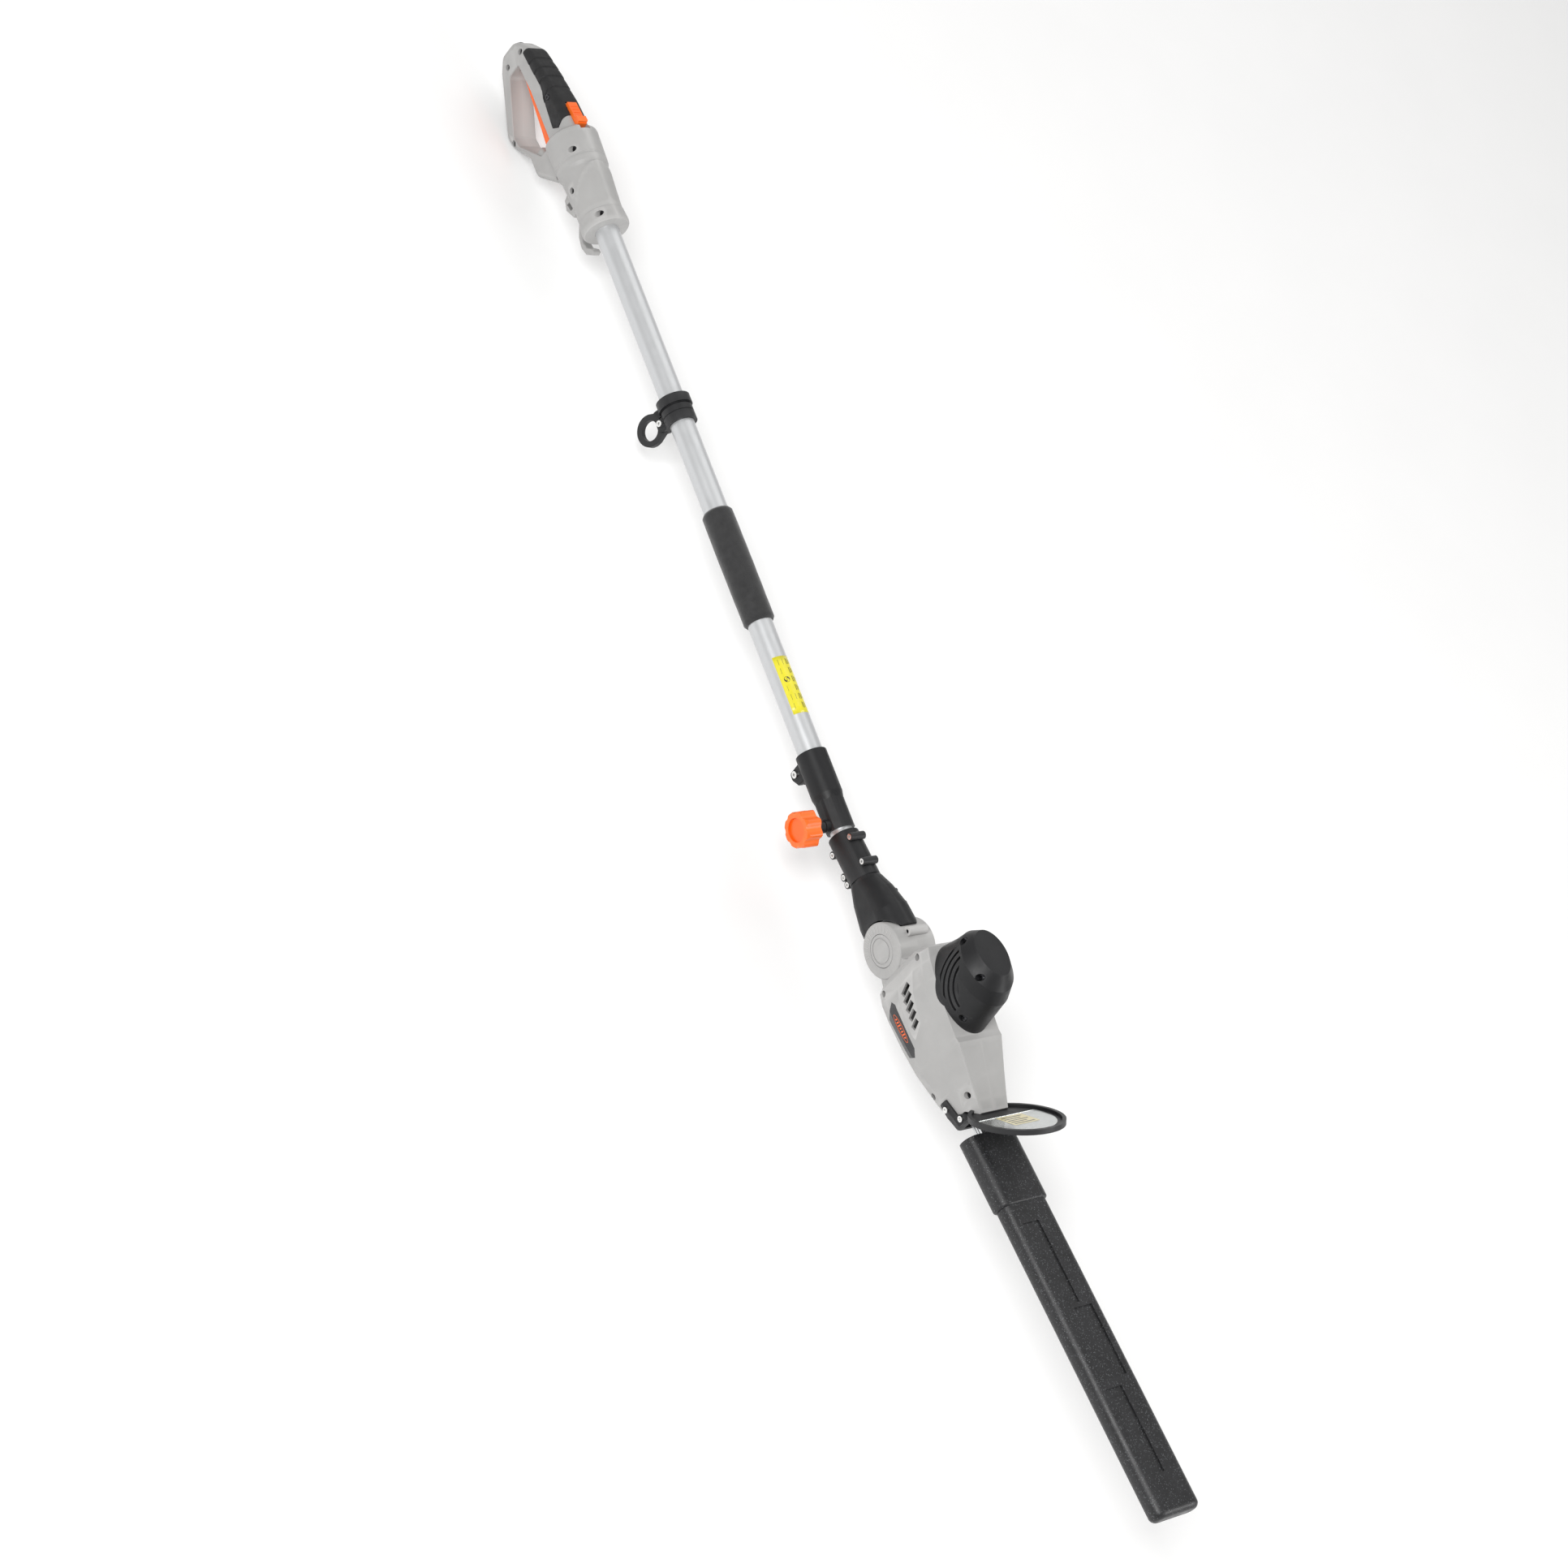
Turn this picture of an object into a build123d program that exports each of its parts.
"""Pole hedge trimmer: rear D-handle, telescopic pole, tilting motor head, double-action blades, sheath.

Pole frame: +X along the pole towards the blades, +Z up (motor side), +Y to the right, millimetres.
The origin is on the pole axis, on the bare tube just behind the coupling, where a rack hook holds it.
Head frame: origin on the tilt pivot, its X along the blades. The lower pole is cranked up by crank_deg.
"""

from build123d import *
import math
import os

# ---- Pole -------------------------------------------------------------------------------------
tube_od = 28.0
tube_id = 25.4
inner_od = 24.8
inner_id = 22.2
tube_rear_x = -718.0
tube_front_x = 100.0
gap_x = 120.0
inner_rear_x = -440.0
foam_rear_x = -271.0
foam_front_x = -132.0
foam_od = 35.6

# ---- Coupling and lock knob -------------------------------------------------------------------
coupling_rear_x = 26.0
coupling_step_x = 76.0
coupling_front_x = 117.5
coupling_wide_r = 17.3
coupling_narrow_r = 15.6
ear_x = 37.0
ear_z = -26.5
ear_half_width = 8.0
ear_gap = 1.6
knob_x = 110.5
knob_inner_y = -38.0
knob_outer_y = -58.0
knob_r = 20.5
knob_lobes = 8
stud_r = 3.0

# ---- Strap ring -------------------------------------------------------------------------------
band_x = -399.0
band_r = 18.0
band_length = 31.4
eye_distance = 41.0
eye_r = 11.6
eye_bar = 6.8
eye_thickness = 6.0
strap_turn_deg = -16.0

# ---- Cranked lower pole -----------------------------------------------------------------------
crank_deg = 7.5
pivot_from_gap = 144.4
sleeve_rear_l = -140.0
sleeve_front_l = -84.0
sleeve_r = 17.3
sleeve_screw_n = 18.3
neck_rear_l = -84.0
inner_front_l = -70.0

# ---- Tilt pivot -------------------------------------------------------------------------------
barrel_r = 30.0
barrel_half_width = 24.75
neck_clear_r = 31.6
slot_half_width = 11.0
tongue_half_width = 10.6
tongue_r = 25.0
slot_r = 25.6
pivot_bolt_r = 4.0
button_r = 17.6
button_depth = 7.0
button_travel = 2.5
boss_l = -2.0
boss_n = 32.5

# ---- Motor head -------------------------------------------------------------------------------
wall = 3.0
motor_l = 84.0
cap_top_n = 120.0
stator_r = 27.0
stator_low_n = 37.0
stator_high_n = 83.0
shaft_r = 4.0
bearing_r = 11.0
gear_module = 1.25
pinion_teeth = 9
gear_teeth = 45
gear_low_n = 4.0
gear_high_n = 12.0
gear_l = motor_l + gear_module * (pinion_teeth + gear_teeth) / 2
cam_r = 7.0
cam_offset = 4.0
blade_n = -10.5
blade_thickness = 2.5
blade_stroke = 4.0
blade_tail_l = 96.0
blade_tip_l = 622.0
bar_tip_l = 600.0
tooth_pitch = 24.0
tooth_first_l = 232.0
tooth_count = 16
blade_bolts_l = (260, 380, 500, 590)

# ---- Guard ------------------------------------------------------------------------------------
guard_l = 229.0
guard_n = 41.0
guard_r = 49.5
guard_lean_deg = 42.5
guard_thickness = 2.4
guard_rim = 5.5

# ---- Sheath -----------------------------------------------------------------------------------
sheath_rear_l = 220.0
sheath_step_l = 300.0
sheath_front_l = 640.0
sheath_collar = (66.0, 27.0)
sheath_body = (60.0, 23.0)
sheath_wall = 2.4

BIG = 3000.0
HEAD = Pos(gap_x, 0, 0) * Rot(0, -crank_deg, 0) * Pos(pivot_from_gap, 0, 0)


# ---- Small helpers ----------------------------------------------------------------------------
def side_face(points, rounds=None):
    """A closed outline in the XZ plane, with a radius at each point that has one in rounds."""
    face = make_face(Polyline(*[(x, 0, z) for x, z in points], close=True))
    for (x, z), radius in (rounds or {}).items():
        corner = face.vertices().sort_by_distance((x, 0, z))[0]
        face = fillet_in_plane(face, corner, radius)
    return face


def fillet_in_plane(face, corner, radius):
    """Rounds one corner of a planar face that stands in the XZ plane."""
    flat = Rot(-90, 0, 0) * face
    at = Rot(-90, 0, 0) * Vertex(corner.X, corner.Y, corner.Z)
    picked = flat.vertices().sort_by_distance(at.center())[0]
    return Rot(90, 0, 0) * fillet(picked, radius)


def slab(points, half_width, rounds=None):
    """The outline in the XZ plane made half_width thick on each side of Y = 0."""
    return extrude(side_face(points, rounds), amount=half_width, dir=(0, 1, 0), both=True)


def rod_x(radius, x0, x1, y=0.0, z=0.0):
    """A round bar along X from x0 to x1."""
    return Pos((x0 + x1) / 2, y, z) * Rot(0, 90, 0) * Cylinder(radius, abs(x1 - x0))


def rod_y(radius, x, z, y0, y1):
    """A round bar along Y from y0 to y1."""
    return Pos(x, (y0 + y1) / 2, z) * Rot(90, 0, 0) * Cylinder(radius, abs(y1 - y0))


def rod_z(radius, x, y, z0, z1):
    """A round bar along Z from z0 to z1."""
    return Pos(x, y, (z0 + z1) / 2) * Cylinder(radius, abs(z1 - z0))


def block(x0, x1, y0, y1, z0, z1):
    """A box between two corners."""
    return Pos((x0 + x1) / 2, (y0 + y1) / 2, (z0 + z1) / 2) * Box(x1 - x0, y1 - y0, z1 - z0)


def turned(profile):
    """A body turned about the X axis from a list of (x, radius) points."""
    outline = [(profile[0][0], 0)] + list(profile) + [(profile[-1][0], 0)]
    face = make_face(Polyline(*[(x, 0, r) for x, r in outline], close=True))
    return revolve(face, Axis.X, 360)


def half(shape, side):
    """The part of shape on one side of the mid plane; side is -1 for left and 1 for right."""
    return shape & (Pos(0, side * BIG / 2, 0) * Box(BIG, BIG, BIG))


def soften(shape, edges, *radii):
    """Rounds edges by the first of the radii that the shape can take."""
    for radius in radii:
        try:
            result = fillet(edges, radius)
            if result.is_valid:
                return result
        except Exception:
            continue
    return shape


def coil(radius, wire, z0, z1, turns):
    """A compression spring as a stack of closed rings joined by a thin inner sleeve."""
    pitch = (z1 - z0 - wire) / (turns - 1)
    rings = [Pos(0, 0, z0 + wire / 2 + i * pitch) * Torus(radius, wire / 2) for i in range(turns)]
    sleeve = Pos(0, 0, (z0 + z1) / 2) * (
        Cylinder(radius + 0.15, z1 - z0 - wire) - Cylinder(radius - 0.15, z1 - z0)
    )
    return sleeve + rings


def pan_screw(x, z, y_head, y_tip, head_r=3.2, shank_r=1.5):
    """A pan-head screw along Y, its head at y_head and its tip at y_tip, with a cross recess."""
    way = 1 if y_tip > y_head else -1
    head = rod_y(head_r, x, z, y_head, y_head + way * 2.0)
    shank = rod_y(shank_r, x, z, y_head + way * 2.0, y_tip)
    slot_a = Pos(x, y_head + way * 0.5, z) * Box(head_r * 1.2, 1.2, 0.8)
    slot_b = Pos(x, y_head + way * 0.5, z) * Box(0.8, 1.2, head_r * 1.2)
    return (head + shank) - slot_a - slot_b


# ---- Handle -----------------------------------------------------------------------------------
handle_half_width = 16.0
loop_outline = [
    (-752, 25), (-800, 20), (-850, 11), (-889, 0), (-909, -16), (-909, -44),
    (-893, -57), (-826, -88), (-812, -86), (-779, -64), (-754, -64), (-719, -28), (-719, 20),
]
loop_rounds = {(-889, 0): 24, (-909, -16): 14, (-909, -44): 12, (-826, -88): 9, (-812, -86): 6, (-754, -64): 12}
loop_opening = [
    (-879, -21), (-878, -43), (-817, -74.5), (-803, -72), (-767, -41), (-767, -17), (-840, -17),
]
opening_rounds = {(-879, -21): 3, (-878, -43): 6, (-817, -74.5): 6, (-803, -72): 6, (-767, -41): 6}
grip_low_z = -16.5
handle_screws_at = [(-889, -9), (-889, -39), (-811, -78), (-728, -26), (-691, 0), (-733, 21), (-647, 20)]
trigger_pin_at = (-874.0, -12.0)
gland_z = -28.0
trigger_half_width = 12.0
collar_profile = [
    (-764, 27), (-760, 31.0), (-757, 31.5), (-728, 30.4), (-727, 29.8), (-725, 29.8), (-724, 30.3),
    (-717, 30.0), (-713, 28.2), (-690, 26.6), (-668, 25.2), (-656, 25.2), (-655, 26.8), (-642, 28.0),
    (-639, 27.6), (-637, 26.0),
]
grip_region = [
    (-893, 6), (-884, -5), (-859, -2), (-836, 2), (-826, 2), (-818, -1), (-779, -4),
    (-773, 6), (-779, 24), (-786, 33), (-893, 33),
]


def handle_outer():
    """The whole handle as one solid body before it is hollowed and split."""
    body = slab(loop_outline, handle_half_width, loop_rounds)
    body = soften(body, side_edges(body, handle_half_width), 8, 7, 6, 5, 4, 3)
    opening = slab(loop_opening, 40, opening_rounds)
    body -= opening
    body = soften(body, opening_edges(body), 3, 2.5, 2, 1.5)
    body += turned(collar_profile)
    saddle = turned([(-716, 29.7), (-712, 29.4), (-690, 27.9), (-668, 26.5), (-655.5, 26.2)])
    saddle &= Pos(-680, 0, 0) * Rot(0, -48.8, 0) * Pos(200, 0, 0) * Box(400, 200, 200)
    body += saddle
    lump = slab([(-779, -64), (-754, -64), (-722, -30), (-722, -20), (-779, -40)], 13, {(-754, -64): 10})
    return body + soften(lump, side_edges(lump, 13), 4, 3, 2)


def side_edges(body, half_width):
    """The edges that lie in the two flat side faces of a slab."""
    def in_side(edge):
        points = [abs(v.Y) for v in edge.vertices()] + [abs(edge.center().Y)]
        return all(abs(y - half_width) < 0.01 for y in points)
    return body.edges().filter_by(in_side)


def opening_edges(body):
    """The side edges of the D-loop's opening."""
    def inside(edge):
        c = edge.center()
        return -882 < c.X < -764 and -77 < c.Z < -15.5 and abs(abs(c.Y) - handle_half_width) < 0.01
    return body.edges().filter_by(inside)


def handle_hollow():
    """The space inside the handle shells, open below for the trigger."""
    grip = slab([(-881, -30), (-881, -7), (-850, 5), (-800, 13), (-740, 16), (-740, -30)], 8.6)
    lip_room = slab([(-864, -30), (-864, -14), (-830, -9.5), (-767.5, -5), (-767.5, -30)],
                    trigger_half_width + 0.5)
    return grip + lip_room + turned([(-756, 24), (-722, 26), (-690, 22.5), (-672, 21.5)])


def handle_shells():
    """The two clamshell halves, with screw posts, the tube socket and the recess for the soft grip."""
    outer = handle_outer()
    posts = [rod_y(4.6, x, z, -40, 40) & outer for x, z in handle_screws_at if x > -760]
    body = outer - handle_hollow()
    for post in posts:
        body += post
    body -= rod_x(tube_od / 2, tube_rear_x, -600)
    left, right = half(body, -1), half(body, 1)
    for x, z in handle_screws_at:
        right -= rod_y(1.6, x, z, -1, 13.6)
    grip_recess = slab(grip_region, 40) - loop_skin(-1.5)
    left -= grip_recess
    right -= grip_recess
    left -= slide_room()
    right -= slide_room()
    for x, z in handle_screws_at:
        left -= screw_bore(x, z)
    gland_hole = rod_x(7.05, -930, -896.5, 0, gland_z)
    pin_hole = rod_y(2.05, *trigger_pin_at, -12, 12)
    return left - gland_hole - pin_hole, right - gland_hole - pin_hole


def screw_seat_y(x, z):
    """How far out the near surface is where a handle screw sits."""
    if x < -760:
        return -handle_half_width
    radius = 30.5 if x < -715 else 27.0
    return -math.sqrt(max(radius ** 2 - z ** 2, 14.0 ** 2))


def screw_bore(x, z):
    """The counterbore and the clear hole of one handle screw."""
    seat = screw_seat_y(x, z) + 5.0
    return rod_y(3.6, x, z, -45, seat) + rod_y(1.6, x, z, seat, 13.6)


def handle_screws():
    """All the handle screws, driven from the left."""
    return Compound([pan_screw(x, z, screw_seat_y(x, z) + 3.0, 12.8) for x, z in handle_screws_at])


def grip_overmould():
    """The soft grip layer over the top and sides of the loop."""
    region = slab(grip_region, 40)
    skin = loop_skin(0.7) & region
    return skin - loop_skin(-1.5)


def loop_skin(grow):
    """The grip stretch of the loop, made larger or smaller all round."""
    top = [(-752, 25 + grow), (-800, 20 + grow), (-850, 11 + grow), (-891 - grow, 0 + grow)]
    low = [(-905 - grow, -30), (-752, -30)]
    body = slab(top + low, handle_half_width + grow, {(-891 - grow, 0 + grow): 24})
    return soften(body, side_edges(body, handle_half_width + grow), 8, 7, 6)


def trigger():
    """The long trigger lever: pivots at its rear end and reaches below the grip."""
    outline = [(-879, -8), (-869, -8), (-820, -5), (-771, -4), (-768, -8), (-768, -27), (-773, -29),
               (-800, -26.5), (-840, -22.5), (-873, -20.5), (-879, -17)]
    rounds = {(-768, -27): 3, (-879, -8): 3.5, (-879, -17): 3.5}
    body = slab(outline, 7.6, rounds)
    lip = slab([(-861, -18.5), (-830, -17), (-771, -17), (-771, -29), (-776, -31), (-800, -28.5),
                (-840, -25.5), (-861, -23.5)], trigger_half_width, {(-771, -29): 2.5})
    body += soften(lip, side_edges(lip, trigger_half_width), 2.0, 1.5, 1.0)
    body -= slab([(-865, -16), (-865, -4), (-775, 0), (-775, -15)], 5.6)
    return body - rod_y(2.05, *trigger_pin_at, -12, 12)


def trigger_pin():
    """The pin that the trigger turns on, held in both shells."""
    return rod_y(2.0, *trigger_pin_at, -11.8, 11.8)


def trigger_spring():
    """The return spring between the trigger and the grip's roof."""
    return Pos(-800, 0, 0) * coil(3.2, 1.0, -14.8, 12.5, 7)


def switch_block():
    """The main switch above the front of the trigger."""
    return block(-762, -738, -8, 8, -22, 4) + block(-764, -762, -2, 2, -4, 2)


def slide_room():
    """The track of the lock-off slide in the grip's top."""
    return Pos(-776.5, 0, 24) * Rot(0, -7, 0) * Box(43, 13.2, 11)


def lock_off_slide():
    """The orange slide with its raised thumb step."""
    body = Pos(-779, 0, 23.6) * Rot(0, -7, 0) * (
        block(-16, 16, -6.2, 6.2, -4, 3.2)
        + soften_block(block(7, 15, -6.2, 6.2, 3.2, 6.8))
    )
    for i in range(3):
        body -= Pos(-779, 0, 23.6) * Rot(0, -7, 0) * Pos(-9 + i * 4.5, 0, 3.3) * Box(1.2, 9, 1.0)
    return body


def soften_block(shape):
    """A block with its upper cross edges rounded."""
    return soften(shape, shape.edges().filter_by(Axis.Y).group_by(Axis.Z)[-1], 1.6, 1.0)


def cable_gland():
    """The round gland in the rear end, nearly flush, with its cable hole."""
    body = rod_x(7.0, -911, -897, 0, gland_z) + rod_x(8.8, -911, -909.1, 0, gland_z)
    return body - rod_x(3.6, -920, -870, 0, gland_z)


def hanging_hook():
    """The curled hook under the front end of the handle."""
    arc = [(-672, -24), (-664, -24), (-660, -33), (-650, -39), (-640, -37), (-633, -29),
           (-628, -28), (-627, -33), (-634, -42), (-645, -46), (-658, -43), (-668, -36)]
    body = slab(arc, 5.5, {(-645, -46): 8, (-650, -39): 5, (-628, -28): 1.5})
    return soften(body, side_edges(body, 5.5), 1.4, 1.0, 0.6) - turned([(-700, 26.2), (-600, 26.2)])


def hanging_lug():
    """The small sloped lug with a slot behind the hook."""
    body = slab([(-712, -24), (-706, -40), (-694, -44), (-680, -36), (-682, -22)], 8, {(-694, -44): 4})
    body = soften(body, side_edges(body, 8), 1.5, 1.0)
    body -= slab([(-699, -38.5), (-689, -36), (-689, -31), (-699, -33)], 20)
    seat = turned([(-728, 30.45), (-717, 30.05), (-713, 28.25), (-690, 26.65), (-668, 25.25), (-650, 25.25)])
    return body - seat


# ---- Pole -------------------------------------------------------------------------------------
def upper_tube():
    """The upper pole tube."""
    body = rod_x(tube_od / 2, tube_rear_x, tube_front_x)
    body -= rod_x(tube_id / 2, tube_rear_x - 5, tube_front_x + 5)
    return body - rod_y(1.9, -691, 0, -20, 20)


def tube_end_bush():
    """The plastic bush on the rear end of the inner tube."""
    body = rod_x(12.6, inner_rear_x - 3, inner_rear_x + 22)
    body -= rod_x(inner_od / 2, inner_rear_x, inner_rear_x + 30)
    return body - rod_x(9, inner_rear_x - 5, inner_rear_x + 30)


def inner_tube():
    """The inner tube: straight where it telescopes, then cranked up inside the clamp sleeve."""
    straight = rod_x(inner_od / 2, inner_rear_x, gap_x)
    bent = HEAD * rod_x(inner_od / 2, -pivot_from_gap, inner_front_l)
    knee = Pos(gap_x, 0, 0) * Sphere(inner_od / 2)
    bore = rod_x(inner_id / 2, inner_rear_x - 5, gap_x)
    bore += HEAD * rod_x(inner_id / 2, -pivot_from_gap, inner_front_l + 5)
    bore += Pos(gap_x, 0, 0) * Sphere(inner_id / 2)
    return straight + knee + bent - bore


def foam_grip():
    """The foam sleeve on the pole."""
    body = rod_x(foam_od / 2, foam_rear_x, foam_front_x)
    body = soften(body, body.edges(), 2.5)
    return body - rod_x(tube_od / 2, foam_rear_x - 5, foam_front_x + 5)


def coupling_sleeve():
    """The sleeve over the tube's end: wide round rear, chamfered step, narrow faceted front."""
    body = rod_x(coupling_wide_r, coupling_rear_x, coupling_step_x)
    body = soften(body, body.edges().group_by(Axis.X)[0], 1.2)
    cone = Pos((coupling_step_x + 4), 0, 0) * Rot(0, 90, 0) * Cone(coupling_wide_r, coupling_narrow_r, 8)
    octagon = RegularPolygon(coupling_narrow_r, 8, major_radius=False, rotation=22.5)
    facets = extrude(octagon, coupling_front_x - coupling_step_x)
    facets = Pos(coupling_step_x, 0, 0) * Rot(0, 90, 0) * facets
    facets &= rod_x(coupling_narrow_r + 0.6, coupling_step_x, coupling_front_x)
    body += cone + facets
    ear_outline = [
        (ear_x - 9, -12), (ear_x - 5, -35), (ear_x + 3, -35.5), (ear_x + 12, -29), (ear_x + 12, -12),
    ]
    ear = slab(ear_outline, ear_half_width, {(ear_x - 5, -35): 4, (ear_x + 3, -35.5): 4})
    ear = soften(ear, side_edges(ear, ear_half_width), 1.5, 1.0)
    body += ear
    boss = rod_y(7.0, knob_x, 0, -21, -8)
    body += boss
    body -= rod_x(tube_od / 2, coupling_rear_x - 5, tube_front_x)
    body -= rod_x(tube_id / 2, tube_front_x - 1, coupling_front_x + 5)
    body -= block(coupling_rear_x - 25, ear_x + 12, -ear_gap / 2, ear_gap / 2, -40, -10)
    body -= rod_y(2.1, ear_x, ear_z, -20, 20)
    body -= rod_y(4.2, ear_x, ear_z, -12, -6)
    body -= Pos(ear_x, 7.5, ear_z) * Rot(90, 0, 0) * extrude(RegularPolygon(4.1, 6), 3.0, both=True)
    body -= block(coupling_rear_x - 2, coupling_rear_x + 12, 4, 12, 15.6, 20)
    body -= rod_y(4.6, knob_x, 0, -30, -14.2)
    body -= rod_y(stud_r + 0.3, knob_x, 0, -16, 0)
    return body


def coupling_screw():
    """The socket screw and nut that pinch the coupling's ears."""
    screw = rod_y(4.0, ear_x, ear_z, -10.0, -6.0) + rod_y(2.0, ear_x, ear_z, -6.0, 9.0)
    screw -= Pos(ear_x, -9.0, ear_z) * Rot(90, 0, 0) * extrude(RegularPolygon(1.9, 6), 1.2, both=True)
    nut = Pos(ear_x, 7.5, ear_z) * Rot(90, 0, 0) * extrude(RegularPolygon(3.9, 6), 2.0, both=True)
    nut -= rod_y(2.0, ear_x, ear_z, 0, 12)
    return Compound([screw, nut])


def stud_insert():
    """The brass insert that the knob's stud screws into."""
    return rod_y(4.6, knob_x, 0, -20.5, -14.4) - rod_y(stud_r + 0.05, knob_x, 0, -25, -10)


def lock_knob():
    """The star knob with its lobes, dished face and black neck side."""
    outline = []
    steps = 96
    for i in range(steps):
        angle = 2 * math.pi * i / steps
        radius = knob_r - 1.5 + 1.5 * math.cos(knob_lobes * angle)
        outline.append((radius * math.cos(angle), radius * math.sin(angle)))
    face = make_face(Polyline(*outline, close=True))
    depth = knob_inner_y - knob_outer_y
    body = extrude(face, depth)
    cone = Pos(0, 0, depth / 2) * Cone(knob_r + 0.2 + depth * 0.35, knob_r - 1.6, depth + 0.01)
    body &= cone
    body -= Pos(0, 0, depth - 1.0) * Cylinder(13.0, 3.0)
    body -= Pos(0, 0, 3) * Cylinder(stud_r, 14)
    return Pos(knob_x, knob_inner_y, 0) * Rot(90, 0, 0) * body


def knob_stem():
    """The black collar between the knob and the coupling."""
    return rod_y(6.0, knob_x, 0, knob_inner_y, -21.4) - rod_y(stud_r, knob_x, 0, -60, -10)


def knob_stud():
    """The steel stud of the lock knob."""
    return rod_y(stud_r, knob_x, 0, knob_inner_y - 9.9, -12.75)


# ---- Strap ring -------------------------------------------------------------------------------
STRAP = Pos(band_x, 0, 0) * Rot(strap_turn_deg, 0, 0)


def strap_band():
    """The split band with two rims and a pair of ears below."""
    body = rod_x(band_r, -band_length / 2, band_length / 2)
    body += rod_x(band_r + 1.6, -band_length / 2, -band_length / 2 + 11)
    body += slab([(-13, -14), (-13, -26), (11, -28), (14, -14)], 7.5, {(-13, -26): 3, (11, -28): 3})
    body -= rod_x(tube_od / 2 + 0.05, -30, 30)
    body -= block(-20, 20, -3.2, 3.2, -40, -10)
    body -= rod_y(2.1, 3, -22, -20, 20)
    groove = rod_x(band_r + 4, -3.6, -2.4) - rod_x(band_r - 0.8, -10, 10)
    groove += rod_x(band_r + 4, 4.6, 5.4) - rod_x(band_r - 0.6, -10, 10)
    return body - groove


def strap_ring():
    """The flat round eye, held between the band's ears."""
    outer = rod_y(eye_r + eye_bar, 0, -eye_distance, -eye_thickness / 2, eye_thickness / 2)
    web = slab([(-11, -19.6), (-18, -36), (18, -36), (11, -19.6)], eye_thickness / 2)
    body = outer + web
    body = soften(body, side_edges(body, eye_thickness / 2), 1.6, 1.2, 0.8)
    body -= rod_y(eye_r, 0, -eye_distance, -10, 10)
    return body - rod_y(2.1, 3, -22, -20, 20) - rod_x(19.0, -30, 30)


def strap_screw():
    """The screw through the band's ears and the eye."""
    body = rod_y(3.6, 3, -22, -10.0, -7.5) + rod_y(2.0, 3, -22, -7.5, 9.5)
    body -= Pos(3, -9.5, -22) * Rot(90, 0, 0) * extrude(RegularPolygon(1.7, 6), 0.8, both=True)
    nut = Pos(3, 8.9, -22) * Rot(90, 0, 0) * extrude(RegularPolygon(3.6, 6), 1.3, both=True)
    return Compound([body, nut - rod_y(2.0, 3, -22, 0, 12)])


# ---- Lower clamp sleeve and neck (head frame) -------------------------------------------------
sleeve_screws_at = [
    (-128.5, sleeve_screw_n), (-97.5, sleeve_screw_n),
    (-128.5, -sleeve_screw_n), (-100.6, -sleeve_screw_n), (-91.4, -sleeve_screw_n),
]


def sleeve_outer():
    """The clamp sleeve with its cross-screw barrels above and below."""
    body = rod_x(sleeve_r, sleeve_rear_l, sleeve_front_l)
    body = soften(body, body.edges().group_by(Axis.X)[0], 1.0)
    for l, n in sleeve_screws_at:
        body += rod_y(4.4, l, n, -9.5, 9.5)
    return body


def sleeve_halves():
    """Left and right halves of the lower clamp sleeve."""
    body = sleeve_outer() - rod_x(inner_od / 2, -170, -60) - knee_room()
    for l, n in sleeve_screws_at:
        body -= rod_y(1.9, l, n, -12, 12) + rod_y(3.3, l, n, -12, -7.5)
    return half(body, -1), half(body, 1)


def knee_room():
    """Room for the knee of the inner tube at the sleeve's rear end."""
    return Pos(-pivot_from_gap, 0, 0) * Sphere(inner_od / 2 + 0.01)


def sleeve_screws():
    """The socket screws of the clamp sleeve."""
    made = []
    for l, n in sleeve_screws_at:
        screw = rod_y(3.1, l, n, -10.0, -7.5) + rod_y(1.8, l, n, -7.5, 9.4)
        screw -= Pos(l, -9.5, n) * Rot(90, 0, 0) * extrude(RegularPolygon(1.6, 6), 0.9, both=True)
        made.append(screw)
    return Compound(made)


neck_screws_at = [(-58, 18), (-58, -18), (-40, 22), (-40, -22)]


def neck_section(l, half_w, half_n):
    """One rounded section of the neck, square to the pole."""
    oval = RectangleRounded(2 * half_w, 2 * half_n, min(half_w, half_n) * 0.86)
    return Pos(l, 0, 0) * Rot(0, 90, 0) * Rot(0, 0, 90) * oval


def neck_outer():
    """The flared neck, hollowed round the barrel."""
    stations = [
        (neck_rear_l, 16.2, 16.2), (-80, 16.8, 18.0), (-64, 18.5, 24.5), (-38, 21.5, 30.2), (-10, 22.2, 31.0),
    ]
    body = loft([neck_section(*s) for s in stations], ruled=True)
    body = soften(body, body.edges().group_by(Axis.X)[1], 4.0)
    lips = slab([(-90, 17), (-64, 40), (-24, 40), (-9, 28),
                 (-9, -28), (-24, -40), (-64, -40), (-90, -17)], 40)
    body &= lips
    body -= rod_y(neck_clear_r, 0, 0, -40, 40)
    return body


def neck_halves():
    """Left and right halves of the neck, with the tongue's seat cut out."""
    seat = slab([(-66, 13), (-20, 13), (0, 20), (0, -20), (-20, -13), (-66, -13)], tongue_half_width + 0.01)
    body = neck_outer() - rod_x(inner_od / 2, -100, inner_front_l) - seat
    body -= rod_x(9.0, inner_front_l - 1, -60)
    for l, n in neck_screws_at:
        body -= rod_y(3.0, l, n, 14, 40) + rod_y(1.5, l, n, -14, 15)
    return half(body, -1), half(body, 1)


def neck_screws():
    """The screws that join the neck's halves, driven from the right."""
    return Compound([pan_screw(l, n, 16.0, -13.5, 2.8, 1.4) for l, n in neck_screws_at])


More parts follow.
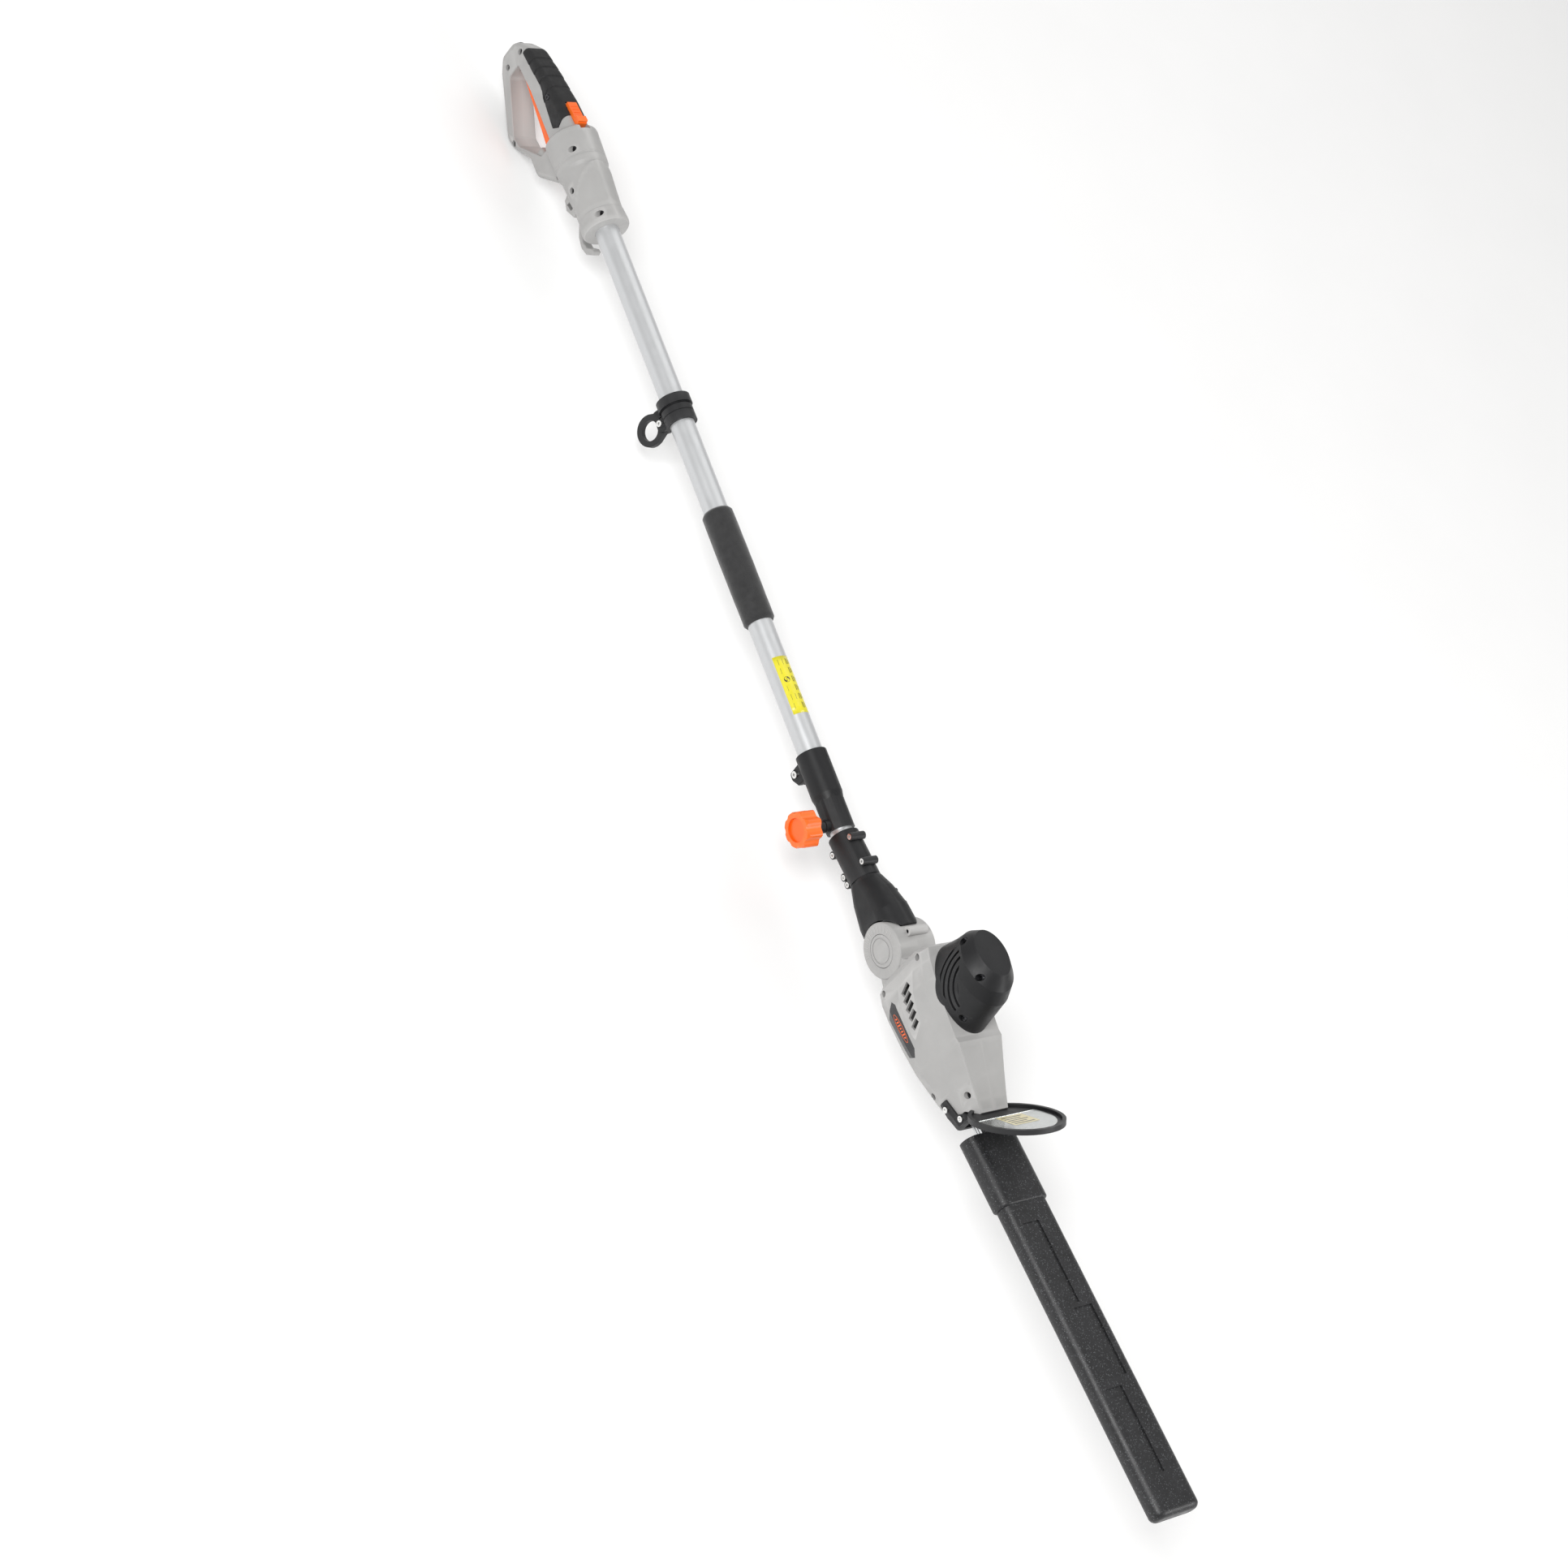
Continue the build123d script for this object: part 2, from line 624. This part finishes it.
def tilt_tongue():
    """The metal tongue: a toothed disc in the barrel's slot and a root held by the neck."""
    disc = rod_y(tongue_r, 0, 0, -tongue_half_width, tongue_half_width)
    root = slab([(-65, 12.6), (-24, 12.6), (0, 16), (0, -16), (-24, -12.6), (-65, -12.6)], tongue_half_width)
    body = disc + root
    body -= rod_y(pivot_bolt_r + 0.06, 0, 0, -20, 20)
    lock_pocket = rod_y(13.0, 0, 0, -tongue_half_width - 1, -tongue_half_width + 5)
    body -= lock_pocket - rod_y(6.0, 0, 0, -20, 20)
    for i in range(24):
        angle = math.radians(15 * i)
        l, n = 13.0 * math.cos(angle), 13.0 * math.sin(angle)
        body -= rod_y(1.3, l, n, -tongue_half_width - 1, -tongue_half_width + 5)
    return body


# ---- Head shells (head frame) -----------------------------------------------------------------
head_stations = [
    # l, top half width, top n, crease half width, crease n, low n, bottom half width, bottom n
    (29, 20, 56, 27, 48, -10, 16, -24.5),
    (36, 26, 67, 32, 58, -16, 18, -33),
    (48, 29, 64.5, 34, 55, -18, 18, -37.5),
    (66, 30, 60.5, 35, 47, -19, 18, -39),
    (100, 30, 52.5, 35, 33, -20, 18, -39),
    (131, 29.5, 46.5, 34, 23, -19, 17, -37.5),
    (137, 29, 47.5, 33.5, 21, -18, 16.5, -37),
    (170, 23.5, 32.8, 29.5, 11, -15, 14, -32.5),
    (192, 20, 23.5, 26, 4, -12, 12, -26),
    (205, 18, 18.8, 24, 0, -10, 11, -19),
]


def head_section(l, top_w, top_n, crease_w, crease_n, low_n, bottom_w, bottom_n, inset=0.0):
    """One eight-sided section of the head shells, drawn inwards by inset."""
    right = [
        (top_w - inset * 0.5, top_n - inset),
        (crease_w - inset, crease_n - inset * 0.4),
        (crease_w - inset, low_n),
        (crease_w * 0.78 + bottom_w * 0.22 - inset * 0.8, (low_n + bottom_n) / 2 - 2.5),
        (bottom_w - inset * 0.3, bottom_n + inset),
    ]
    left = [(-w, n) for w, n in reversed(right)]
    return make_face(Polyline(*[(l, w, n) for w, n in right + left], close=True))


def head_half_width(l):
    """Half the width of the head at its widest, at l."""
    for (l0, *rest0), (l1, *rest1) in zip(head_stations, head_stations[1:]):
        if l0 <= l <= l1:
            return rest0[2] + (rest1[2] - rest0[2]) * (l - l0) / (l1 - l0)
    return head_stations[-1][3]


def head_block(inset=0.0, first=None, last=None):
    """The head's main body through all its stations."""
    faces = []
    for station in head_stations:
        l = station[0]
        if first is not None and l == head_stations[0][0]:
            l = first
        if last is not None and l == head_stations[-1][0]:
            l = last
        faces.append(head_section(l, *station[1:], inset=inset))
    return loft(faces, ruled=True)


def barrel_block():
    """The pivot barrel and the waist that joins it to the body."""
    barrel = rod_y(barrel_r, 0, 0, -barrel_half_width, barrel_half_width)
    barrel = soften(barrel, barrel.edges().filter_by(GeomType.CIRCLE), 2.0)
    waist = slab([(4, 26), (22, 21), (32, 34), (40, 34), (40, -26), (30, -24), (22, -20.5), (8, -10)], 23.5)
    boss = rod_y(5.0, boss_l, boss_n, -10, 15)
    return barrel + waist + boss


def tilt_room():
    """The slot in the barrel that the tongue turns in, open towards the neck over the tilt range."""
    reach = 48.0
    first, last = math.radians(112), math.radians(312)
    steps = 10
    points = [(0.0, 0.0)]
    for i in range(steps + 1):
        angle = first + (last - first) * i / steps
        points.append((reach * math.cos(angle), reach * math.sin(angle)))
    sector = slab(points, slot_half_width)
    disc = rod_y(slot_r, 0, 0, -slot_half_width, slot_half_width)
    return (sector & rod_y(reach - 8, 0, 0, -20, 20)) + disc


def head_outer():
    """The whole head as one solid before it is hollowed and split."""
    return head_block() + barrel_block() - nose_front()


def nose_front():
    """What is cut off the nose: in front of the guard's rear face, and square below the guard."""
    lean = math.tan(math.radians(guard_lean_deg))
    back = (guard_thickness / 2 + 0.1) / math.cos(math.radians(guard_lean_deg))
    low = guard_l + (5 - guard_n) * lean - back
    high = guard_l + (60 - guard_n) * lean - back
    return slab([(low, 5), (high, 60), (320, 60), (320, -60), (low, -60)], 60)


def head_screws_at():
    """Places of the head screws: (l, n, how far in the seat lies)."""
    return [(183, 18, -19.0), (40, -18, -22.0), (38, 52, -24.0), (160, -24, -17.0)]


def head_cavity():
    """The space inside the head shells."""
    inner = head_block(inset=wall, first=33.0, last=200.0)
    well = cap_well()
    return inner + well


def cap_plane(grow=0.0):
    """The sloped oval that the motor cap stands on, in the head frame."""
    tilt = math.degrees(math.atan2(62.0 - 45.0, 130.0 - 40.0))
    place = Pos(84, 0, 55.2) * Rot(0, tilt, 0)
    return place, Ellipse(49.0 + grow, 31.5 + grow)


def cap_well():
    """The opening in the head's top that the motor stands through."""
    place, oval = cap_plane(-4.5)
    return place * extrude(oval, 30, both=True)


def bearing_plate():
    """The metal plate that holds the gear axle and the motor's lower bearing."""
    plate = slab([(58, 13), (150, 13), (150, 18), (58, 18)], 24)
    ring = rod_z(bearing_r + 3, motor_l, 0, 13, 25) - rod_z(bearing_r, motor_l, 0, 17, 26)
    body = plate + ring
    body -= rod_z(6.5, motor_l, 0, 5, 30)
    body -= rod_z(4.0, gear_l, 0, 5, 30)
    body -= rod_z(bearing_r, motor_l, 0, 17, 30)
    return body


def head_shells():
    """Left and right head shells."""
    outer = head_outer()
    body = outer - head_cavity()
    for l, n, seat in head_screws_at():
        body += rod_y(4.6, l, n, -30, 30) & outer
    body -= tilt_room()
    body -= rod_y(pivot_bolt_r + 0.05, 0, 0, -40, 40)
    body -= rod_y(button_r + 0.4, 0, 0, -40, -barrel_half_width + button_depth)
    body -= rod_y(7.4, 0, 0, 18.0, 40) + rod_y(16.0, 0, 0, barrel_half_width - 1.5, 40)
    body -= rod_y(2.2, boss_l, boss_n, -14, 12)
    body += ribs() & outer
    body -= nose_room()
    for l, n, seat in head_screws_at():
        body -= rod_y(3.7, l, n, -45, seat) + rod_y(1.6, l, n, seat - 1, 12)
    body -= block(57, 151, -24.2, 24.2, 12.9, 18.1)
    for side in (-1, 1):
        for l, n in guard_screws_at:
            body -= rod_y(1.7, l, n, side * 20, side * 40)
        body -= vent_slots(side)
        body -= inlay_room(side)
    return half(body, -1), half(body, 1)


def ribs():
    """Ribs on both sides that the stator's flats rest between."""
    return block(76, 92, -40, -24, 38, 56) + block(76, 92, 24, 40, 38, 56)


def nose_room():
    """The way out of the nose for the blades."""
    return block(150, 215, -19, 19, -18, -3) + block(190, 215, -12, 12, -4, 4)


def vent_slots(side):
    """Five slanted louvres through the side wall."""
    places = [(55.4, 17.0), (64.0, 14.4), (72.8, 12.0), (81.8, 9.9), (91.0, 7.2)]
    return Compound([
        Pos(l, side * 34, n) * Rot(0, 70, 0) * Box(16.5 - i, 12, 6.3) for i, (l, n) in enumerate(places)
    ])


vent_outline = [(45, 39), (63, 26), (81, 20), (94, 16), (104, -3), (96, -5), (78, -2), (56, 2.5), (48, 7)]
badge_outline = [(54, -10.5), (59, -7), (109.5, -10), (117.5, -16), (112.5, -25.5), (65.5, -27.5)]
inlay_depth = 1.2


def inlay_room(side):
    """Shallow recesses for the vent inlay and the badge."""
    return inlay(vent_outline, side, 0.0) + inlay(badge_outline, side, 0.0)


def inlay(outline, side, gap):
    """A thin plate that follows the side wall."""
    skin = head_block() - head_block(inset=inlay_depth)
    region = make_face(Polyline(*[(x, 0, z) for x, z in outline], close=True))
    region = extrude(region, amount=60, dir=(0, side, 0))
    piece = skin & region
    return piece & (Pos(0, side * (27 + BIG / 2), 0) * Box(BIG, BIG, BIG))


def vent_inlays():
    """The louvred inlays on both sides."""
    return Compound([inlay(vent_outline, side, 0.0) - vent_slots(side) for side in (-1, 1)])


def badges():
    """The blank badge plates on both sides."""
    return Compound([inlay(badge_outline, side, 0.0) for side in (-1, 1)])


def head_screws():
    """The screws of the head shells, of the motor cap and of the barrel's boss."""
    made = [pan_screw(l, n, seat - 2.0, 11.0) for l, n, seat in head_screws_at()]
    made += [pan_screw(l, n, seat - 2.0, 10.0) for l, n, seat in cap_screws_at()]
    made.append(pan_screw(boss_l, boss_n, -9.0, 11.5, 2.1, 1.2))
    return Compound(made)


def pivot_bolt():
    """The shouldered bolt of the tilt pivot with its hex head on the right."""
    body = rod_y(pivot_bolt_r, 0, 0, -13.5, 18.0)
    head = Pos(0, 20.4, 0) * Rot(90, 0, 0) * extrude(RegularPolygon(7.0, 6), 2.4, both=True)
    return body + head


def pivot_cap():
    """The round cover over the bolt on the right side."""
    body = rod_y(15.9, 0, 0, barrel_half_width - 1.4, barrel_half_width + 0.6)
    return soften(body, body.edges().group_by(Axis.Y)[-1], 0.5)


def release_button():
    """The round push button in the left end of the barrel, with its toothed lock ring."""
    face_y = -barrel_half_width - 0.4
    body = rod_y(button_r, 0, 0, face_y, face_y + 3.4)
    body = soften(body, body.edges().group_by(Axis.Y)[0], 1.0)
    body -= rod_y(14.0, 0, 0, face_y - 1, face_y + 0.6) - rod_y(12.5, 0, 0, -40, 0)
    skirt = rod_y(9.0, 0, 0, face_y + 3.4, face_y + 4.4) - rod_y(7.0, 0, 0, -40, 0)
    return body + skirt


# ---- Motor cap (head frame) -------------------------------------------------------------------
def cap_outer(inset=0.0):
    """The motor cap: an oval skirt that rises to an eight-sided slanted end."""
    place, oval = cap_plane(-inset)
    low = place * Pos(0, 0, -5 - inset) * oval
    mid = Pos(84, 0, 92) * Ellipse(41.5 - inset, 31.0 - inset)
    high = Pos(79, 0, cap_top_n - inset) * Ellipse(27.0 - inset * 0.6, 18.5 - inset * 0.6)
    shoulder = Pos(81.5, 0, 107) * Ellipse(37.0 - inset, 29.0 - inset)
    body = loft([low, mid], ruled=True) + loft([mid, shoulder], ruled=True)
    return body + loft([shoulder, high], ruled=True)


def cap_screws_at():
    """Places of the cap screws on the near side: (l, n, seat)."""
    return [(56, 109, -14.0), (99, 110, -18.5), (117, 60, -18.0)]


def cap_halves():
    """Left and right halves of the motor cap."""
    outer = cap_outer()
    body = outer - cap_outer(inset=wall)
    for l, n, seat in cap_screws_at():
        body += rod_y(4.4, l, n, -30, 30) & outer
    for l, n, seat in cap_screws_at():
        body -= rod_y(3.6, l, n, -45, seat) + rod_y(1.6, l, n, seat - 1, 11)
    body -= fan_slots()
    body -= stator_room()
    body -= head_block()
    return half(body, -1), half(body, 1)


def fan_slots():
    """The curved cooling slots in both sides of the cap."""
    region = slab([(56, 74), (56, 104), (72, 104), (108, 70), (108, 60), (84, 60)], 60)
    slots = None
    for side in (-1, 1):
        for i in range(5):
            radius = 62 - i * 7.0
            ring = rod_y(radius + 1.4, 118, 108, side * 22, side * 40)
            ring -= rod_y(radius - 1.4, 118, 108, side * 21, side * 41)
            slots = ring if slots is None else slots + ring
    return slots & region


def stator_room():
    """Clear space round the motor inside the cap."""
    return rod_z(stator_r + 0.5, motor_l, 0, 40, stator_high_n + 1)


# ---- Motor and drive (head frame) -------------------------------------------------------------
def stator():
    """The laminated field core with two windings."""
    body = rod_z(stator_r, motor_l, 0, stator_low_n, stator_high_n)
    body &= block(motor_l - 30, motor_l + 30, -24, 24, 0, 200)
    body -= rod_z(17.6, motor_l, 0, 0, 200)
    return body


def armature():
    """The wound rotor core."""
    body = rod_z(17.0, motor_l, 0, 39, 80) - rod_z(shaft_r, motor_l, 0, 0, 200)
    for i in range(12):
        angle = math.radians(30 * i)
        body -= rod_z(1.6, motor_l + 16.2 * math.cos(angle), 16.2 * math.sin(angle), 0, 200)
    return body


def motor_shaft():
    """The motor shaft."""
    return rod_z(shaft_r, motor_l, 0, gear_low_n - 0.5, 103)


def commutator():
    """The copper commutator with its segments."""
    body = rod_z(9.5, motor_l, 0, 84, 96) - rod_z(shaft_r, motor_l, 0, 0, 200)
    for i in range(16):
        angle = 22.5 * i
        body -= Pos(motor_l, 0, 90) * Rot(0, 0, angle) * Pos(9.5, 0, 0) * Box(1.6, 0.6, 12.1)
    return body


def carbon_brushes():
    """Two carbon brushes in line across the commutator."""
    return Compound([Pos(motor_l, side * 14.4, 90) * Box(6, 9, 8) for side in (-1, 1)])


def cooling_fan():
    """The fan under the rotor: a hub, a disc and radial blades."""
    body = rod_z(20.0, motor_l, 0, 26.6, 28.0) + rod_z(7.0, motor_l, 0, 26.6, 35.5)
    for i in range(10):
        body += Pos(motor_l, 0, 30.5) * Rot(0, 0, 36 * i) * Pos(13.4, 0, 0) * Box(12.4, 1.2, 5.2)
    body &= rod_z(20.0, motor_l, 0, 0, 100)
    return body - rod_z(shaft_r, motor_l, 0, 0, 200)


def bearing(n0):
    """A sealed ball bearing as one ring with grooved shields."""
    body = rod_z(bearing_r, motor_l, 0, n0, n0 + 7) - rod_z(shaft_r + 0.04, motor_l, 0, -50, 200)
    for n in (n0 - 0.4, n0 + 6.6):
        body -= rod_z(9.2, motor_l, 0, n, n + 0.8) - rod_z(6.2, motor_l, 0, -50, 200)
    return body


def bearing_bridge():
    """The bridge across the cap that holds the upper bearing."""
    body = block(motor_l - 6, motor_l + 6, -40, 40, 98, 103) & cap_outer(inset=wall + 0.05)
    body += rod_z(bearing_r + 2.5, motor_l, 0, 96.4, 106)
    body -= rod_z(bearing_r, motor_l, 0, 97.4, 107)
    return body - rod_z(5.0, motor_l, 0, 0, 200)


def gear_outline(teeth, backlash):
    """Points of a straight-flanked spur gear's outline."""
    pitch_r = gear_module * teeth / 2
    tip_r = pitch_r + gear_module * 0.75
    root_r = pitch_r - gear_module * 1.1
    step = 2 * math.pi / teeth
    points = []
    for i in range(teeth):
        centre = i * step
        for radius, share in ((root_r, -0.36), (tip_r, -0.13), (tip_r, 0.13), (root_r, 0.36)):
            angle = centre + (share - backlash * math.copysign(1, share)) * step
            points.append((radius * math.cos(angle), radius * math.sin(angle)))
    return points


def pinion():
    """The small gear on the motor shaft, a gap between teeth facing the drive gear."""
    face = make_face(Polyline(*gear_outline(pinion_teeth, 0.02), close=True))
    body = Rot(0, 0, 20) * extrude(face, gear_high_n - gear_low_n) - Cylinder(shaft_r, 60)
    return Pos(motor_l, 0, gear_low_n) * body


def drive_gear():
    """The large gear, a tooth facing the pinion."""
    face = make_face(Polyline(*gear_outline(gear_teeth, 0.02), close=True))
    body = Rot(0, 0, 180) * extrude(face, gear_high_n - gear_low_n - 1) - Cylinder(5.0, 60)
    for i in range(5):
        angle = math.radians(36 + 72 * i)
        body -= Pos(16 * math.cos(angle), 16 * math.sin(angle), 0) * Cylinder(4.2, 60)
    return Pos(gear_l, 0, gear_low_n + 0.5) * body


def eccentric_shaft():
    """The gear's axle with two cams set opposite each other."""
    top = rod_z(3.94, gear_l, 0, 12, 18) + rod_z(5.0, gear_l, 0, -4.4, 12)
    upper = Pos(gear_l, cam_offset, 0) * Pos(0, 0, blade_n + 1.7) * Cylinder(cam_r, blade_thickness)
    lower = Pos(gear_l, -cam_offset, 0) * Pos(0, 0, blade_n - 1.7) * Cylinder(cam_r, blade_thickness)
    web = rod_z(2.6, gear_l, 0, blade_n - 6.5, -4.4)
    return top + upper + lower + web


# ---- Blades (head frame) ----------------------------------------------------------------------
def blade(level):
    """One reciprocating blade: a flat bar with teeth on both sides and a round eye for its cam."""
    centre = blade_n + level * 1.7
    low = centre - blade_thickness / 2
    body = block(tooth_first_l - 80, blade_tip_l - 18, -9, 9, low, low + blade_thickness)
    body += block(blade_tail_l + 20, tooth_first_l - 60, -12, 12, low, low + blade_thickness)
    body += rod_z(20.0, gear_l, 0, low, low + blade_thickness)
    for i in range(tooth_count):
        l = tooth_first_l + i * tooth_pitch
        tooth = make_face(Polyline((l - 7, 0), (l - 3.2, 23.5), (l + 1.2, 23.5), (l + 7, 0),
                                   (l + 1.2, -23.5), (l - 3.2, -23.5), close=True))
        body += Pos(0, 0, low) * extrude(tooth, blade_thickness)
    body -= rod_z(cam_r + cam_offset + blade_stroke + 0.6, gear_l, 0, -40, 0)
    for l in blade_bolts_l:
        body -= Pos(l, 0, centre) * Box(2 * blade_stroke + 1, 5.4, 10)
        for way in (-1, 1):
            body -= Pos(l + way * blade_stroke, 0, centre) * Cylinder(2.7, 10)
    return body


def blade_bar():
    """The fixed bar on top of the blades."""
    body = block(150, bar_tip_l, -8.5, 8.5, blade_n + 3.4, blade_n + 6.4)
    for l in blade_bolts_l:
        body -= rod_z(2.1, l, 0, -30, 10)
    return body


def blade_bolts():
    """The shouldered bolts that carry the blades under the bar, with their nuts."""
    made = []
    for l in blade_bolts_l:
        bolt = rod_z(2.1, l, 0, blade_n - 3.4, blade_n + 6.4)
        bolt += rod_z(4.6, l, 0, blade_n - 5.4, blade_n - 3.4)
        nut = Pos(l, 0, blade_n + 6.4) * extrude(RegularPolygon(3.6, 6), 1.7)
        made.append(bolt + nut)
    return Compound(made)


# ---- Guard (head frame) -----------------------------------------------------------------------
guard_screws_at = [(181, -14), (198, -3)]
GUARD = Pos(guard_l, 0, guard_n) * Rot(0, guard_lean_deg, 0)


def guard_disc(radius, low, high):
    """A round disc on the guard's own axis."""
    return rod_x(radius, low, high)


def guard_bracket():
    """The black bracket: a plate before the nose and a cheek on each side of it."""
    region = slab([(173, -7), (192, -5), (197, 6), (203, 9), (203, -22), (188, -23), (173, -19)], 60)
    body = head_block(inset=-2.2, last=212.0) & region
    return body - head_outer() - block(150, 230, -15, 15, -18, -2.5)


def guard_rim_part():
    """The guard's black rim and lower web in one with the bracket on the nose."""
    ring = guard_disc(guard_r, -guard_rim + 1.5, 1.5) - guard_disc(guard_r - 4.0, -20, 20)
    sheet = guard_disc(guard_r - 3.0, -guard_thickness / 2, guard_thickness / 2)
    ring += sheet - guard_disc(guard_r - 9.0, -20, 20)
    web = sheet & block(-20, 20, -60, 60, -60, -16)
    body = GUARD * (ring + web) - head_outer() + guard_bracket()
    for side in (-1, 1):
        for l, n in guard_screws_at:
            body -= rod_y(1.7, l, n, side * 20, side * 40)
            body -= rod_y(3.6, l, n, side * (head_half_width(l) + 1.6), side * 40)
    return body


def guard_window():
    """The clear window of the guard."""
    body = guard_disc(guard_r - 9.05, -guard_thickness / 2, guard_thickness / 2)
    return GUARD * (body & block(-20, 20, -60, 60, -15.9, 60))


def guard_screws():
    """The bright screws that hold the guard's cheeks on the nose, on both sides."""
    made = []
    for side in (-1, 1):
        for l, n in guard_screws_at:
            seat = side * (head_half_width(l) + 1.6)
            head = rod_y(3.3, l, n, seat, seat + side * 2.2)
            shank = rod_y(1.6, l, n, side * 20.5, seat)
            socket = extrude(RegularPolygon(1.6, 6), 0.9, both=True)
            made.append(head + shank - Pos(l, seat + side * 2.2, n) * Rot(90, 0, 0) * socket)
    return Compound(made)


# ---- Sheath (head frame) ----------------------------------------------------------------------
def oval_slab(size, l0, l1, grow=0.0):
    """A flat tube section with a crowned cross-section, from l0 to l1."""
    width, height = size[0] + 2 * grow, size[1] + 2 * grow
    section = RectangleRounded(width, height, height * 0.46)
    across = Plane(origin=(l0, 0, blade_n), x_dir=(0, 1, 0), z_dir=(1, 0, 0))
    return extrude(across * section, l1 - l0, dir=(1, 0, 0))


def sheath():
    """The blade sheath: a wide mouth collar, a grooved body and a rounded end."""
    collar = oval_slab(sheath_collar, sheath_rear_l, sheath_step_l)
    collar = soften(collar, collar.edges().group_by(Axis.X)[-1], 3.0, 2.0)
    body = oval_slab(sheath_body, sheath_step_l - 10, sheath_front_l)
    body = soften(body, body.edges().group_by(Axis.X)[-1], 7.0, 5.0, 3.0)
    outer = collar + body
    for side in (-1, 1):
        top = blade_n + side * sheath_body[1] / 2
        for l in (322, 506):
            outer -= block(l, l + 92, -4, 2.5, top - 1.6, top + 1.6)
            outer -= block(l, l + 10, -19, 2.5, top - 1.6, top + 1.6)
        outer -= block(419, 496, -8, 16, top - 1.8, top + 1.8)
    inner = oval_slab((sheath_body[0] - 2 * sheath_wall, sheath_body[1] - 2 * sheath_wall - 1.2),
                      sheath_rear_l - 5, sheath_front_l - 3)
    return outer - inner


def all_nodes():
    """Every node by name, in the pole frame."""
    handle_left, handle_right = handle_shells()
    neck_left, neck_right = neck_halves()
    sleeve_left, sleeve_right = sleeve_halves()
    head_left, head_right = head_shells()
    cap_left, cap_right = cap_halves()
    pole = {
        "handle_shell_left": handle_left,
        "handle_shell_right": handle_right,
        "handle_soft_grip": grip_overmould() - slide_room(),
        "handle_screws": handle_screws(),
        "cable_gland": cable_gland(),
        "main_switch": switch_block(),
        "trigger": trigger(),
        "trigger_pin": trigger_pin(),
        "trigger_spring": trigger_spring(),
        "lock_off_slide": lock_off_slide(),
        "hanging_hook": Compound([hanging_hook(), hanging_lug()]),
        "upper_tube": upper_tube(),
        "foam_grip": foam_grip(),
        "strap_band": STRAP * strap_band(),
        "strap_ring": STRAP * strap_ring(),
        "strap_screw": STRAP * strap_screw(),
        "coupling_sleeve": coupling_sleeve(),
        "coupling_screw": coupling_screw(),
        "stud_insert": stud_insert(),
        "lock_knob": lock_knob(),
        "knob_stem": knob_stem(),
        "knob_stud": knob_stud(),
        "inner_tube": inner_tube(),
        "tube_end_bush": tube_end_bush(),
    }
    lower = {
        "clamp_sleeve_left": sleeve_left,
        "clamp_sleeve_right": sleeve_right,
        "clamp_sleeve_screws": sleeve_screws(),
        "neck_left": neck_left,
        "neck_right": neck_right,
        "neck_screws": neck_screws(),
        "tilt_tongue": tilt_tongue(),
        "head_shell_left": head_left,
        "head_shell_right": head_right,
        "head_screws": head_screws(),
        "vent_inlays": vent_inlays(),
        "badge_plates": badges(),
        "pivot_bolt": pivot_bolt(),
        "pivot_cap": pivot_cap(),
        "release_button": release_button(),
        "motor_cap_left": cap_left,
        "motor_cap_right": cap_right,
        "motor_stator": stator(),
        "carbon_brushes": carbon_brushes(),
        "bearing_bridge": bearing_bridge(),
        "motor_bearings": Compound([bearing(17.2), bearing(97.4)]),
        "bearing_plate": bearing_plate(),
        "motor_rotor": armature() + motor_shaft() + commutator(),
        "cooling_fan": cooling_fan(),
        "motor_pinion": pinion(),
        "drive_gear": drive_gear(),
        "eccentric_shaft": eccentric_shaft(),
        "upper_blade": blade(1),
        "lower_blade": blade(-1),
        "blade_bar": blade_bar(),
        "blade_bolts": blade_bolts(),
        "guard_rim": guard_rim_part(),
        "guard_window": guard_window(),
        "guard_screws": guard_screws(),
        "blade_sheath": sheath(),
    }
    pole.update({name: HEAD * shape for name, shape in lower.items()})
    return pole


def main():
    """Writes one STEP file for each node."""
    os.makedirs("parts", exist_ok=True)
    for name, shape in all_nodes().items():
        export_step(shape, f"parts/{name}.step")


if __name__ == "__main__":
    main()
